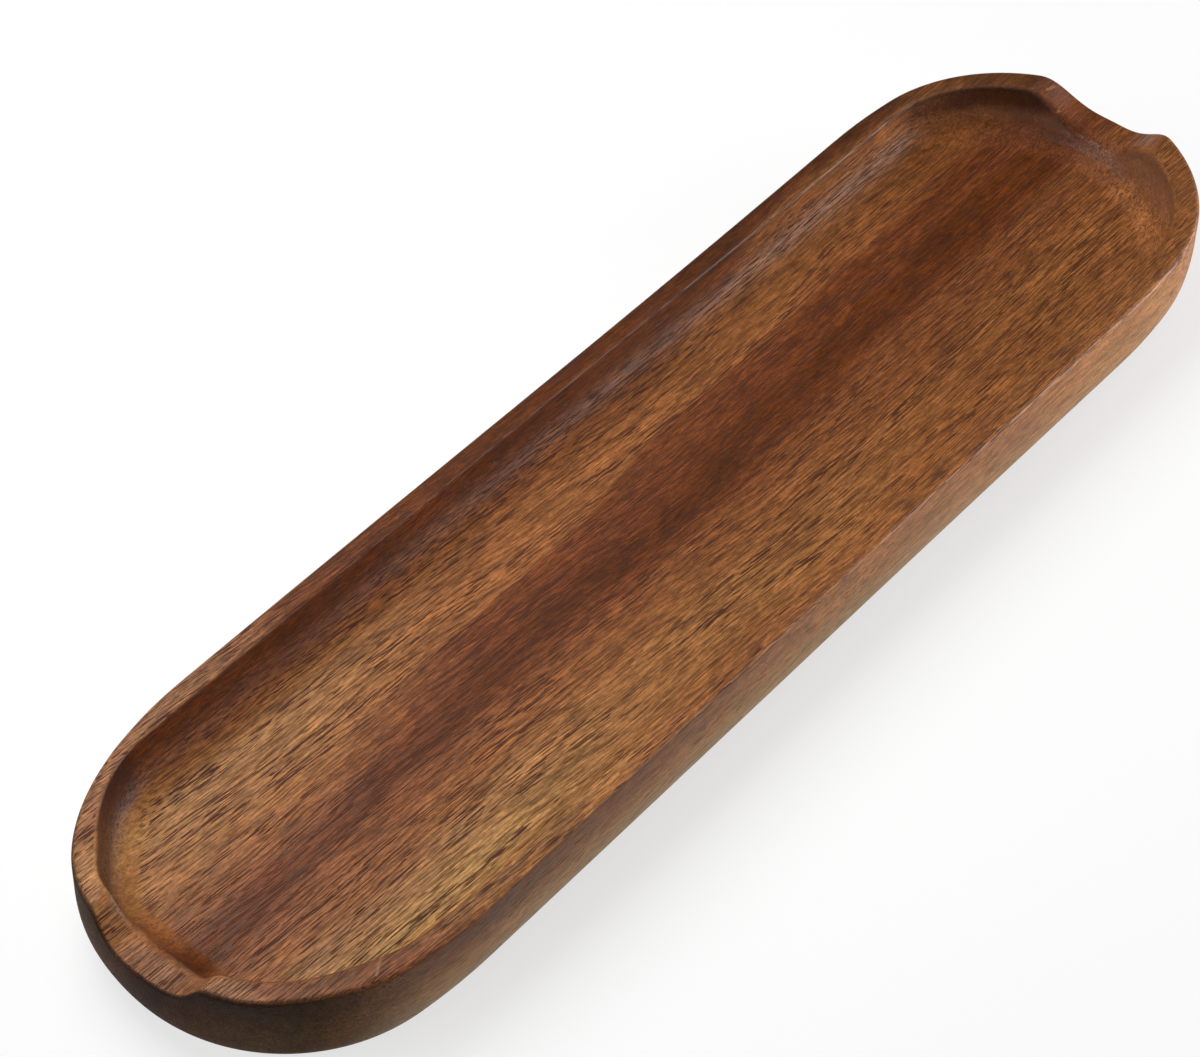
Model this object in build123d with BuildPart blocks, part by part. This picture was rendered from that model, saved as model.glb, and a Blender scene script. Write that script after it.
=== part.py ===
"""Pen tray: one board carved into a shallow trough, with a pen notch in each end, on four stick-on feet.

Millimetres. +X runs along the tray, +Z is up, and the origin is under the centre of the tray, on the
surface that its feet stand on.
"""
import os
from math import acos, degrees, sin

from build123d import *

# Board: overall size, and the rounding of its lower edge
tray_length = 200.0
tray_width = 52.2
board_height = 13.4
lower_edge_radius = 4.5

# Outer ends: each straight side draws in along a long shoulder arc, then turns into a round end
shoulder_radius = 85.0
shoulder_drop = 0.6

# Hollow: upright walls and a flat floor, joined by the cove that a tray cutter leaves
side_rim_width = 3.2
end_rim_width = 4.3
floor_thickness = 5.8
cove_radius = 2.8

# Hollow ends: blunter than a half circle, with tighter corners and a flatter tip
hollow_corner_tightening = 3.4
hollow_tip_flattening = 9.1

# Pen notches: a round scoop across the rim at each end, whose sill stands just above the cove
notch_scoop_radius = 12.0
notch_shoulder_radius = 2.6
sill_wall_height = 0.3

# Sanded edges of the rim, outside and inside
rim_edge_radius = 0.6

# Feet: low stick-on pads, one near each corner of the flat underside
foot_diameter = 10.0
foot_height = 1.2
foot_edge_chamfer = 0.4
foot_side_margin = 1.6
foot_end_inset = 30.0

underside = foot_height
rim_top = underside + board_height
hollow_floor = underside + floor_thickness
cove_top = hollow_floor + cove_radius
notch_floor = cove_top + sill_wall_height + rim_edge_radius
hollow_length = tray_length - 2 * end_rim_width
hollow_width = tray_width - 2 * side_rim_width


def draw_outline(length, width, side_radius, tip_radius):
    """A long outline whose ends are two tangent arcs a quarter, one off the side and one round the tip."""
    side_turn = acos((side_radius - width / 2) / (side_radius - tip_radius))
    end_length = tip_radius + (side_radius - tip_radius) * sin(side_turn)
    with BuildLine() as outline:
        side = Line((0, width / 2), (length / 2 - end_length, width / 2))
        shoulder = JernArc(side @ 1, side % 1, side_radius, -degrees(side_turn))
        JernArc(shoulder @ 1, shoulder % 1, tip_radius, degrees(side_turn) - 90)
        mirror(about=Plane.XZ)
        mirror(about=Plane.YZ)
    make_face(outline.edges())


def is_rim_land(face):
    """Whether a face lies along the top of the rim: its flats, the notch shoulders and the scoops."""
    across = face.normal_at()
    return face.center().Z > cove_top and across.Z > abs(across.X) + abs(across.Y)


with BuildPart() as tray_body:
    with BuildSketch(Plane.XY.offset(underside)):
        draw_outline(tray_length, tray_width, shoulder_radius, tray_width / 2 - shoulder_drop)
    extrude(amount=board_height)
    fillet(tray_body.edges().group_by(Axis.Z)[0], radius=lower_edge_radius)

    with BuildSketch(Plane.XY.offset(rim_top)):
        draw_outline(
            hollow_length,
            hollow_width,
            hollow_width / 2 - hollow_corner_tightening,
            hollow_width / 2 + hollow_tip_flattening,
        )
    extrude(amount=hollow_floor - rim_top, mode=Mode.SUBTRACT)
    floor_face = tray_body.faces().filter_by(Plane.XY).sort_by(Axis.Z)[1]
    fillet(floor_face.edges(), radius=cove_radius)

    with BuildSketch(Plane.YZ):
        with Locations((0, notch_floor + notch_scoop_radius)):
            Circle(notch_scoop_radius)
    extrude(amount=tray_length, both=True, mode=Mode.SUBTRACT)
    scoop_corners = tray_body.edges().filter_by(Axis.X).filter_by_position(
        Axis.Y, -notch_scoop_radius, notch_scoop_radius
    )
    fillet(scoop_corners, radius=notch_shoulder_radius)

    rim_land = tray_body.faces().filter_by(is_rim_land)
    rim_edges = rim_land.edges().filter_by(
        lambda edge: sum(edge in face.edges() for face in rim_land) == 1
    )
    fillet(rim_edges, radius=rim_edge_radius)
tray_body.part.label = "tray_body"

os.makedirs("parts", exist_ok=True)
export_step(tray_body.part, "parts/tray_body.step")

foot_x = tray_length / 2 - foot_end_inset
foot_y = tray_width / 2 - lower_edge_radius - foot_side_margin - foot_diameter / 2
for end_name, x in (("front", -foot_x), ("rear", foot_x)):
    for side_name, y in (("left", foot_y), ("right", -foot_y)):
        foot_name = f"foot_{end_name}_{side_name}"
        with BuildPart() as foot:
            with BuildSketch():
                with Locations((x, y)):
                    Circle(foot_diameter / 2)
            extrude(amount=foot_height)
            chamfer(foot.edges().group_by(Axis.Z)[0], length=foot_edge_chamfer)
        foot.part.label = foot_name
        export_step(foot.part, f"parts/{foot_name}.step")
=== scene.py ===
"""A carved wooden pen tray on four stick-on feet, dressed and lit for a studio picture.

Metres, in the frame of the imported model: +X runs along the tray, +Z is up, and the origin lies under
the centre of the tray, on the surface that its feet stand on. The wood's finish is given in
millimetres of the same frame.
"""
import logging
import math
from dataclasses import dataclass
from enum import Enum, auto
from functools import reduce
from typing import Any

import bmesh
import bpy
import numpy as np
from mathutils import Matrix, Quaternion, Vector


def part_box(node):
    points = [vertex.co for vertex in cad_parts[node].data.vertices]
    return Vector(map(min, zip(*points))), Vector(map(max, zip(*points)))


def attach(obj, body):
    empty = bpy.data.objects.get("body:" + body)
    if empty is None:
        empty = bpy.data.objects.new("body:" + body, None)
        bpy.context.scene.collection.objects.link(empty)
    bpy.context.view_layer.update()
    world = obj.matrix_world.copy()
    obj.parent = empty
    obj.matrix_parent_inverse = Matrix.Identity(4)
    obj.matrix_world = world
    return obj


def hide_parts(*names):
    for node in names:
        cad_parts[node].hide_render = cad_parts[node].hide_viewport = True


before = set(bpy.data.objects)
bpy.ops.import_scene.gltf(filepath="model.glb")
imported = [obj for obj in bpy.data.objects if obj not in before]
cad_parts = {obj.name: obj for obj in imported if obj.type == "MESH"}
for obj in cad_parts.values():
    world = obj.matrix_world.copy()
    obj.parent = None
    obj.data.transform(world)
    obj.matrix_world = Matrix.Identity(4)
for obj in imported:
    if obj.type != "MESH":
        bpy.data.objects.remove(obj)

log = logging.getLogger("pen_tray")

MM = 0.001
MERGE_DISTANCE = 0.001 * MM
ROOT_BODY = "root"

Colour = tuple[float, float, float]
Point = tuple[float, float, float]
Plan = tuple[float, float]
Row = tuple[np.ndarray, np.ndarray | float]


class TrayEnd(Enum):
    """The two ends of the tray, by their sign along X."""

    FRONT = -1
    REAR = 1


class TraySide(Enum):
    """The two long sides of the tray, by their sign along Y."""

    LEFT = 1
    RIGHT = -1


class RimLine(Enum):
    """The lines of the rim in plan: the outer wall's foot and lip, and the hollow's wall."""

    OUTER = "outer"
    LIP = "lip"
    HOLLOW = "hollow"


class WoodTone(Enum):
    """The wood's own tones, from the lightest to the darkest, as linear colours."""

    STRAW = (0.380, 0.200, 0.062)
    PALE = (0.335, 0.155, 0.052)
    GOLD = (0.305, 0.125, 0.036)
    HONEY = (0.265, 0.095, 0.026)
    TAN = (0.215, 0.070, 0.020)
    COCOA = (0.146, 0.039, 0.009)
    RUSSET = (0.143, 0.036, 0.009)
    CORE = (0.112, 0.028, 0.004)
    HEART = (0.096, 0.024, 0.004)


class MathOp(Enum):
    """The arithmetic that the finishes use."""

    ADD = "ADD"
    SUBTRACT = "SUBTRACT"
    MULTIPLY = "MULTIPLY"
    SMOOTH_MIN = "SMOOTH_MIN"
    MAXIMUM = "MAXIMUM"


class VectorOp(Enum):
    """The vector arithmetic that the finishes use."""

    ADD = "ADD"
    SUBTRACT = "SUBTRACT"
    MULTIPLY = "MULTIPLY"
    DOT_PRODUCT = "DOT_PRODUCT"
    DISTANCE = "DISTANCE"
    LENGTH = "LENGTH"


class Blend(Enum):
    """How one colour is laid over another."""

    MIX = "MIX"
    MULTIPLY = "MULTIPLY"


class Measure(Enum):
    """What the wood's finish reads at a place on the board.

    ALONG, ACROSS and HEIGHT are its millimetres. OUTWARDS is the surface's turn towards the nearer
    end times the distance along, and AWAY adds the same for the nearer side, so both are below 0
    inside the hollow. UPWARDS is 1 on a level surface, and LYING eases it from wall to level.
    OUTER_END and END_GRAIN say how far the surface cuts across the grain, outside and anywhere.
    """

    ALONG = auto()
    ACROSS = auto()
    HEIGHT = auto()
    OUTWARDS = auto()
    AWAY = auto()
    UPWARDS = auto()
    LYING = auto()
    OUTER_END = auto()
    END_GRAIN = auto()


# Mesh helpers


def smoothstep(low: float, high: float, value: np.ndarray) -> np.ndarray:
    """Eases from 0 at low to 1 at high: with s the clamped share of the way, s squared times (3 - 2s).

    Args:
        low: Value at which the easing starts.
        high: Value at which it ends.
        value: The values to ease.

    Returns:
        Numbers from 0 to 1, of the shape of value.
    """
    share = np.clip((value - low) / (high - low), 0.0, 1.0)
    return share * share * (3.0 - 2.0 * share)


def shares(steps: int) -> np.ndarray:
    """Shares of a way in even steps, both ends included."""
    return np.linspace(0.0, 1.0, steps + 1)


def quarter(steps: int) -> np.ndarray:
    """Angles of a quarter turn in even steps, both ends included."""
    return np.linspace(0.0, math.pi / 2, steps + 1)


def ring_mesh(name: str, grid: np.ndarray) -> bpy.types.Object:
    """Makes a smooth mesh of a grid of points whose columns run round a closed ring.

    Each cell of the grid is one quad from a row to the next and from a column to the next, with the
    last column joined to the first. Points that lie together, as on a middle line or at a pole, are
    then merged, so that the surface is closed.

    Args:
        name: Name of the new object.
        grid: Points of shape (rows, columns, 3), in metres.

    Returns:
        The new object, linked to the scene and placed at the origin.
    """
    rows, columns = grid.shape[:2]
    here = np.arange(rows * columns).reshape(rows, columns)
    beside = np.roll(here, -1, axis=1)
    quads = np.stack([here[:-1], beside[:-1], beside[1:], here[1:]], axis=-1).reshape(-1, 4)
    mesh = bpy.data.meshes.new(name)
    mesh.from_pydata(grid.reshape(-1, 3).tolist(), [], quads.tolist())
    shell = bmesh.new()
    shell.from_mesh(mesh)
    bmesh.ops.remove_doubles(shell, verts=shell.verts, dist=MERGE_DISTANCE)
    bmesh.ops.recalc_face_normals(shell, faces=shell.faces)
    shell.to_mesh(mesh)
    shell.free()
    mesh.polygons.foreach_set("use_smooth", np.ones(len(mesh.polygons), dtype=bool))
    mesh.update()
    piece = bpy.data.objects.new(name, mesh)
    bpy.context.scene.collection.objects.link(piece)
    return piece


# Node helper


class NodeSheet:
    """Adds shader nodes to one node tree, and links or sets their inputs."""

    def __init__(self, tree: bpy.types.NodeTree) -> None:
        """Starts from an empty tree.

        Args:
            tree: The node tree to fill.
        """
        self.tree = tree
        self.tree.nodes.clear()

    def add(self, kind: str, settings: dict[str, Any], inputs: dict[str | int, Any]) -> bpy.types.Node:
        """Adds one node.

        Args:
            kind: The node's type name.
            settings: Its properties, by name.
            inputs: A value or an output socket for each input, by the input's name or number.

        Returns:
            The new node.
        """
        node = self.tree.nodes.new(kind)
        for key, value in settings.items():
            setattr(node, key, value)
        for key, value in inputs.items():
            if isinstance(value, bpy.types.NodeSocket):
                self.tree.links.new(value, node.inputs[key])
            else:
                node.inputs[key].default_value = value
        return node

    def math(self, operation: MathOp, first: Any, second: Any, third: Any = 0.0) -> Any:
        """Works on two numbers, or on three where the operation takes as many."""
        inputs = {0: first, 1: second, 2: third}
        return self.add("ShaderNodeMath", {"operation": operation.value}, inputs).outputs[0]

    def total(self, *terms: Any) -> Any:
        """Adds numbers up."""
        return reduce(lambda first, second: self.math(MathOp.ADD, first, second), terms)

    def product(self, *factors: Any) -> Any:
        """Multiplies numbers with each other."""
        return reduce(lambda first, second: self.math(MathOp.MULTIPLY, first, second), factors)

    def largest(self, *numbers: Any) -> Any:
        """Picks the largest of some numbers."""
        return reduce(lambda first, second: self.math(MathOp.MAXIMUM, first, second), numbers)

    def eased(self, value: Any, low: float, high: float, to_low: float = 0.0, to_high: float = 1.0) -> Any:
        """Eases a number smoothly between two levels.

        Args:
            value: The number to ease.
            low: Number at which the easing starts.
            high: Number at which it ends.
            to_low: Level up to low.
            to_high: Level from high on.

        Returns:
            The eased number's socket.
        """
        inputs = {"Value": value, "From Min": low, "From Max": high, "To Min": to_low, "To Max": to_high}
        return self.add("ShaderNodeMapRange", {"interpolation_type": "SMOOTHSTEP"}, inputs).outputs["Result"]

    def vector(self, operation: VectorOp, first: Any, second: Any = (0.0, 0.0, 0.0)) -> Any:
        """Combines two vectors, or measures them.

        Args:
            operation: What to do.
            first: The first vector.
            second: The second vector, where the operation takes one.

        Returns:
            The socket of a vector, or of a number where the operation measures.
        """
        node = self.add("ShaderNodeVectorMath", {"operation": operation.value}, {0: first, 1: second})
        measures = operation in (VectorOp.DOT_PRODUCT, VectorOp.DISTANCE, VectorOp.LENGTH)
        return node.outputs["Value" if measures else "Vector"]

    def scaled(self, vector: Any, factor: Any) -> Any:
        """Scales a vector or a colour by one number."""
        inputs = {0: vector, "Scale": factor}
        return self.add("ShaderNodeVectorMath", {"operation": "SCALE"}, inputs).outputs["Vector"]

    def stretched(self, vector: Any, scale: Point) -> Any:
        """Scales a vector along X, Y and Z."""
        return self.vector(VectorOp.MULTIPLY, vector, scale)

    def parts(self, vector: Any) -> tuple[Any, ...]:
        """The sockets of a vector's X, Y and Z."""
        return tuple(self.add("ShaderNodeSeparateXYZ", {}, {0: vector}).outputs)

    def noise(self, vector: Any, detail: float, roughness: float = 0.5) -> Any:
        """Smooth noise about 0.5, whose cell is one unit of the vector."""
        inputs = {"Vector": vector, "Scale": 1.0, "Detail": detail, "Roughness": roughness}
        return self.add("ShaderNodeTexNoise", {"noise_dimensions": "3D"}, inputs).outputs["Fac"]

    def ramp(self, value: Any, stops: tuple[tuple[float, Colour], ...]) -> Any:
        """Reads a colour off a strip of colour stops.

        Args:
            value: Place along the strip, from 0 to 1.
            stops: Places and linear colours, at least two.

        Returns:
            The colour's socket.
        """
        node = self.add("ShaderNodeValToRGB", {}, {"Fac": value})
        strip = node.color_ramp
        strip.interpolation = "EASE"
        while len(strip.elements) < len(stops):
            strip.elements.new(1.0)
        for element, (place, colour) in zip(strip.elements, sorted(stops)):
            element.position = place
            element.color = (*colour, 1.0)
        return node.outputs["Color"]

    def mixed(self, share: Any, base: Any, over: Any, blend: Blend = Blend.MIX) -> Any:
        """Lays one colour over another.

        Args:
            share: How much of the upper colour shows, from 0 to 1.
            base: The lower colour.
            over: The upper colour.
            blend: How the two are combined.

        Returns:
            The colour's socket.
        """
        inputs = {0: share}
        for slot, value in ((6, base), (7, over)):
            inputs[slot] = value if isinstance(value, bpy.types.NodeSocket) else (*value, 1.0)
        settings = {"data_type": "RGBA", "blend_type": blend.value}
        return self.add("ShaderNodeMix", settings, inputs).outputs[2]


def new_material(name: str) -> tuple[bpy.types.Material, NodeSheet]:
    """Makes an empty node material and the sheet that fills it.

    Args:
        name: Name of the material.

    Returns:
        The material and its sheet.
    """
    material = bpy.data.materials.new(name)
    material.use_nodes = True
    return material, NodeSheet(material.node_tree)


# Zones of the board


@dataclass(frozen=True)
class Span:
    """A level that eases from one number to another while a measure goes from low to high."""

    measure: Measure
    low: float
    high: float
    before: float = 0.0
    after: float = 1.0


Zone = tuple[Span, ...]

LEVEL: Zone = (Span(Measure.UPWARDS, 0.3, 0.8),)
STEEP: Zone = (Span(Measure.UPWARDS, 0.25, 0.75, 1.0, 0.0),)
RIM_TOP: Zone = (Span(Measure.HEIGHT, 11.5, 13.5), *LEVEL)
OUTER_WALL: Zone = (Span(Measure.AWAY, 8.0, 20.0), Span(Measure.LYING, 0.0, 1.0, 1.0, 0.0))
OUTER_END: Zone = (Span(Measure.OUTWARDS, 15.0, 67.0), Span(Measure.ALONG, -60.0, 60.0, 1.0, 0.5))
INNER_END: Zone = (Span(Measure.OUTWARDS, -75.0, -20.0, 1.0, 0.0),)
INNER_CUT: Zone = (Span(Measure.OUTWARDS, -20.0, -2.0, 1.0, 0.0), Span(Measure.ALONG, -60.0, 60.0, 1.0, 0.5))

# Share of the end grain's plainness that the outer side wall has
WALL_END_GRAIN = 0.5


class BoardReading:
    """The measures at a place on the board, as sockets of one sheet."""

    def __init__(self, sheet: NodeSheet) -> None:
        """Adds the nodes that read the place and the way its surface faces.

        Args:
            sheet: The sheet to add to.
        """
        spot = sheet.add("ShaderNodeTexCoord", {}, {})
        self.sheet = sheet
        self.board = sheet.stretched(spot.outputs["Object"], (1 / MM, 1 / MM, 1 / MM))
        along, across, height = sheet.parts(self.board)
        facing, sideways, upwards = sheet.parts(spot.outputs["Normal"])
        outwards = sheet.product(facing, along)
        self.measures: dict[Measure, Any] = {
            Measure.ALONG: along,
            Measure.ACROSS: across,
            Measure.HEIGHT: height,
            Measure.OUTWARDS: outwards,
            Measure.AWAY: sheet.total(outwards, sheet.product(sideways, across)),
            Measure.UPWARDS: upwards,
        }
        self.measures[Measure.LYING] = self.level(LEVEL)
        self.measures[Measure.OUTER_END] = self.level(OUTER_END)
        self.measures[Measure.END_GRAIN] = sheet.largest(
            self.measures[Measure.OUTER_END],
            self.level(INNER_CUT),
            sheet.product(self.level(OUTER_WALL), WALL_END_GRAIN),
        )

    def level(self, zone: Zone) -> Any:
        """The product of a zone's spans."""
        return self.sheet.product(
            *(self.sheet.eased(self.measures[s.measure], s.low, s.high, s.before, s.after) for s in zone)
        )


@dataclass(frozen=True)
class Stain:
    """A colour laid on the wood in one zone."""

    colour: Colour
    blend: Blend
    zone: Zone

    def laid_on(self, colour: Any, reading: BoardReading) -> Any:
        """The colour with the stain on it."""
        return reading.sheet.mixed(reading.level(self.zone), colour, self.colour, self.blend)


@dataclass(frozen=True)
class Tint:
    """A zone in which the wood is lighter than elsewhere, or darker where the strength is below 0."""

    strength: float
    zone: Zone

    def level(self, reading: BoardReading) -> Any:
        """How bright the wood is, with 1 outside the zone."""
        return reading.sheet.total(reading.sheet.product(reading.level(self.zone), self.strength), 1.0)


# Marks in the wood


@dataclass(frozen=True)
class Ripple:
    """Smooth noise in the wood that swings about a mean.

    Its cells are counted per millimetre along, across and through the board. The noise is eased from
    a spread below its middle to a spread above it.
    """

    cells: Point
    detail: float
    swing: float
    mean: float = 0.0
    roughness: float = 0.5
    middle: float = 0.5
    spread: float = 0.2

    def level(self, sheet: NodeSheet, vector: Any) -> Any:
        """The number at a place.

        Args:
            sheet: The sheet to add to.
            vector: The place, in millimetres.

        Returns:
            The number's socket.
        """
        noise = sheet.noise(sheet.stretched(vector, self.cells), self.detail, self.roughness)
        low, high = self.middle - self.spread, self.middle + self.spread
        return sheet.eased(noise, low, high, self.mean - self.swing, self.mean + self.swing)


@dataclass(frozen=True)
class Dashes:
    """Short dashes along the grain: noise drawn out along its lines, kept where it is high.

    The cells are counted per millimetre. A dash starts at one noise level and is full at the next.
    """

    cells: Point
    start: float
    full: float
    detail: float = 1.0

    def mask(self, sheet: NodeSheet, grain: Any) -> Any:
        """A number that is 1 in a dash and 0 between the dashes."""
        noise = sheet.noise(sheet.stretched(grain, self.cells), self.detail)
        return sheet.eased(noise, self.start, self.full)


@dataclass(frozen=True)
class WearMark:
    """A short scratch or chip in the oiled surface that shows the bare wood, in millimetres."""

    start: Point
    stop: Point
    width: float
    strength: float
    soft_edge: float = 1.3
    ragged: Ripple = Ripple((2.5, 2.5, 2.5), 2.0, 0.3)

    def mask(self, sheet: NodeSheet, board: Any) -> Any:
        """How much of the bare wood shows: full along the mark's line, and none a width away from it.

        Args:
            sheet: The sheet to add to.
            board: The board's own millimetres.

        Returns:
            The number's socket.
        """
        run = np.subtract(self.stop, self.start)
        away = sheet.vector(VectorOp.SUBTRACT, board, self.start)
        along = sheet.vector(VectorOp.DOT_PRODUCT, away, tuple(run / (run @ run)))
        share = sheet.add("ShaderNodeClamp", {}, {"Value": along}).outputs[0]
        gap = sheet.vector(VectorOp.DISTANCE, away, sheet.scaled(tuple(run), share))
        gap = sheet.total(gap, sheet.product(self.ragged.level(sheet, board), self.width))
        return sheet.eased(gap, 0.0, self.soft_edge * self.width, self.strength, 0.0)


# Finishes


@dataclass(frozen=True)
class OiledWood:
    """Open-pored red-brown hardwood with a satin oil finish: a solid grain in the board's millimetres.

    The figure is a dark core streak with a russet band on its left and golden wood on both sides. Its
    tones are given on three strips across the board, at its front, middle and rear, and the wood
    between them blends from one to the next. Pores, fibres and soft patches lie on it. The oil has soaked
    in more on the rim's top towards the rear, and the hollow's floor is paler or darker in some zones.
    The outer ends are darker with end grain and painted shade. Painted shade also darkens the top of the
    outer wall towards the front and the hollow's left wall at both ends. Painted sheen greys the outer
    sides low down, together with their own paler tone, and the hollow's steep rear end.
    """

    front_figure: tuple[tuple[float, WoodTone], ...] = (
        (-31.0, WoodTone.GOLD),
        (-26.5, WoodTone.HONEY),
        (-24.0, WoodTone.TAN),
        (-22.0, WoodTone.GOLD),
        (-17.0, WoodTone.STRAW),
        (-12.5, WoodTone.PALE),
        (-8.0, WoodTone.HONEY),
        (-3.5, WoodTone.TAN),
        (-0.6, WoodTone.CORE),
        (2.0, WoodTone.COCOA),
        (4.0, WoodTone.TAN),
        (6.5, WoodTone.HONEY),
        (11.0, WoodTone.GOLD),
        (17.0, WoodTone.PALE),
        (19.5, WoodTone.GOLD),
        (21.0, WoodTone.TAN),
        (22.5, WoodTone.COCOA),
        (24.5, WoodTone.CORE),
        (26.5, WoodTone.COCOA),
        (29.0, WoodTone.TAN),
    )
    middle_figure: tuple[tuple[float, WoodTone], ...] = (
        (-29.0, WoodTone.GOLD),
        (-25.0, WoodTone.HONEY),
        (-22.0, WoodTone.HONEY),
        (-17.0, WoodTone.GOLD),
        (-12.0, WoodTone.GOLD),
        (-8.0, WoodTone.HONEY),
        (-4.0, WoodTone.TAN),
        (-1.6, WoodTone.COCOA),
        (-0.2, WoodTone.HEART),
        (3.0, WoodTone.CORE),
        (4.5, WoodTone.COCOA),
        (7.0, WoodTone.TAN),
        (10.0, WoodTone.HONEY),
        (19.0, WoodTone.HONEY),
        (22.0, WoodTone.TAN),
        (25.0, WoodTone.COCOA),
        (27.0, WoodTone.HEART),
    )
    rear_figure: tuple[tuple[float, WoodTone], ...] = (
        (-33.0, WoodTone.GOLD),
        (-28.0, WoodTone.HONEY),
        (-26.0, WoodTone.HONEY),
        (-14.0, WoodTone.HONEY),
        (-10.0, WoodTone.TAN),
        (-6.0, WoodTone.TAN),
        (-3.6, WoodTone.COCOA),
        (-2.0, WoodTone.CORE),
        (1.0, WoodTone.CORE),
        (2.6, WoodTone.COCOA),
        (5.0, WoodTone.COCOA),
        (7.0, WoodTone.TAN),
        (10.0, WoodTone.HONEY),
        (18.0, WoodTone.HONEY),
        (19.5, WoodTone.COCOA),
        (21.5, WoodTone.HEART),
    )
    front_to_middle: Zone = (Span(Measure.ALONG, -66.0, -20.0),)
    middle_to_rear: Zone = (Span(Measure.ALONG, -4.0, 48.0),)
    core_line: Zone = (Span(Measure.ALONG, -5.0, 65.0, 0.0, 6.8),)
    drift: Ripple = Ripple((0.03, 0.06, 0.06), 3.0, 1.6, spread=0.25)
    grain_lean: float = 0.35
    floor_height: float = 7.0

    band_edge: Zone = (Span(Measure.ALONG, -14.0, 16.0, 9.6, 12.7),)
    band_run: Zone = (Span(Measure.ALONG, -62.0, -25.0), Span(Measure.ALONG, 35.0, 70.0, 1.0, 0.0))
    band_start: Plan = (2.0, 4.5)
    band_softness: float = 0.6
    band_strength: float = 0.85

    bend_slope: float = 0.058
    bend_end: float = 20.0
    bend_softness: float = 40.0
    sway: Ripple = Ripple((0.025, 0.06, 0.06), 1.0, 0.5, spread=0.25)

    streaks: Ripple = Ripple((0.04, 0.9, 0.9), 4.0, 0.12, 1.0, 0.6)
    mottle: Ripple = Ripple((0.11, 0.30, 0.30), 3.0, 0.14, 1.0, 0.6)
    curl: Ripple = Ripple((0.45, 0.9, 0.9), 3.0, 0.13, 1.0, 0.6)
    flecks: Ripple = Ripple((1.5, 2.4, 2.4), 2.0, 0.14, 1.0, 0.6)
    fibres: Ripple = Ripple((0.34, 3.4, 3.4), 2.0, 0.38, 0.0, 0.6, spread=0.22)
    fibre_contrast: Zone = (
        Span(Measure.ALONG, -50.0, 40.0, 1.1, 0.95),
        Span(Measure.END_GRAIN, 0.0, 1.0, 1.0, 0.45),
    )

    pore_colour: Colour = (0.068, 0.020, 0.009)
    pores: Dashes = Dashes((0.28, 5.2, 5.2), 0.54, 0.61)
    pore_bands: Ripple = Ripple((0.03, 0.3, 0.3), 2.0, 0.25, 0.75, middle=0.48, spread=0.10)
    pore_fill: Zone = (
        Span(Measure.ALONG, -40.0, 80.0, 1.0, 0.85),
        Span(Measure.END_GRAIN, 0.0, 1.0, 1.0, 0.3),
    )
    lines: Dashes = Dashes((0.07, 4.6, 4.6), 0.58, 0.66)
    line_fill: Zone = (
        Span(Measure.ALONG, -40.0, 60.0, 0.35, 0.65),
        Span(Measure.END_GRAIN, 0.0, 1.0, 1.0, 0.25),
    )

    russet_rim: Stain = Stain(
        (0.165, 0.052, 0.018),
        Blend.MIX,
        (*RIM_TOP, Span(Measure.ALONG, -80.0, -66.0, 0.9, 0.0), Span(Measure.ACROSS, -12.0, 0.0, 1.0, 0.0)),
    )
    pale_rim: Stain = Stain(
        (0.280, 0.122, 0.050),
        Blend.MIX,
        (*RIM_TOP, Span(Measure.ALONG, -62.0, -46.0, 0.85, 0.0), Span(Measure.ACROSS, 14.0, 20.0)),
    )
    pale_sill: Stain = Stain(
        (0.280, 0.122, 0.050),
        Blend.MIX,
        (
            *LEVEL,
            Span(Measure.ALONG, -95.5, -94.0, 1.0, 0.0),
            Span(Measure.HEIGHT, 9.8, 10.6),
            Span(Measure.ACROSS, -2.5, 1.0, 0.85, 0.35),
        ),
    )
    oiled_rim: Tint = Tint(
        -1.0,
        (
            Span(Measure.HEIGHT, 13.0, 14.4),
            Span(Measure.ALONG, 0.0, 40.0),
            Span(Measure.ALONG, 55.0, 82.0, 1.0, 1.35),
            Span(Measure.ACROSS, -12.0, 12.0, 0.08, 0.40),
        ),
    )
    # The hollow's floor is paler towards the rear end.
    paler_rear_floor: Tint = Tint(0.15, (Span(Measure.ALONG, 66.0, 86.0), Span(Measure.HEIGHT, 7.3, 9.0, 1.0, 0.0)))
    # The hollow's floor is paler towards the front left corner.
    paler_front_left_floor: Tint = Tint(
        0.22,
        (
            Span(Measure.ALONG, -84.0, -67.0, 1.0, 0.0),
            Span(Measure.ACROSS, 10.0, 14.0),
            Span(Measure.HEIGHT, 7.3, 10.0, 1.0, 0.0),
        ),
    )

    # The outer ends are darker: partly their end grain, and partly painted shade, as these walls face away
    # from the lamps.
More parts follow.
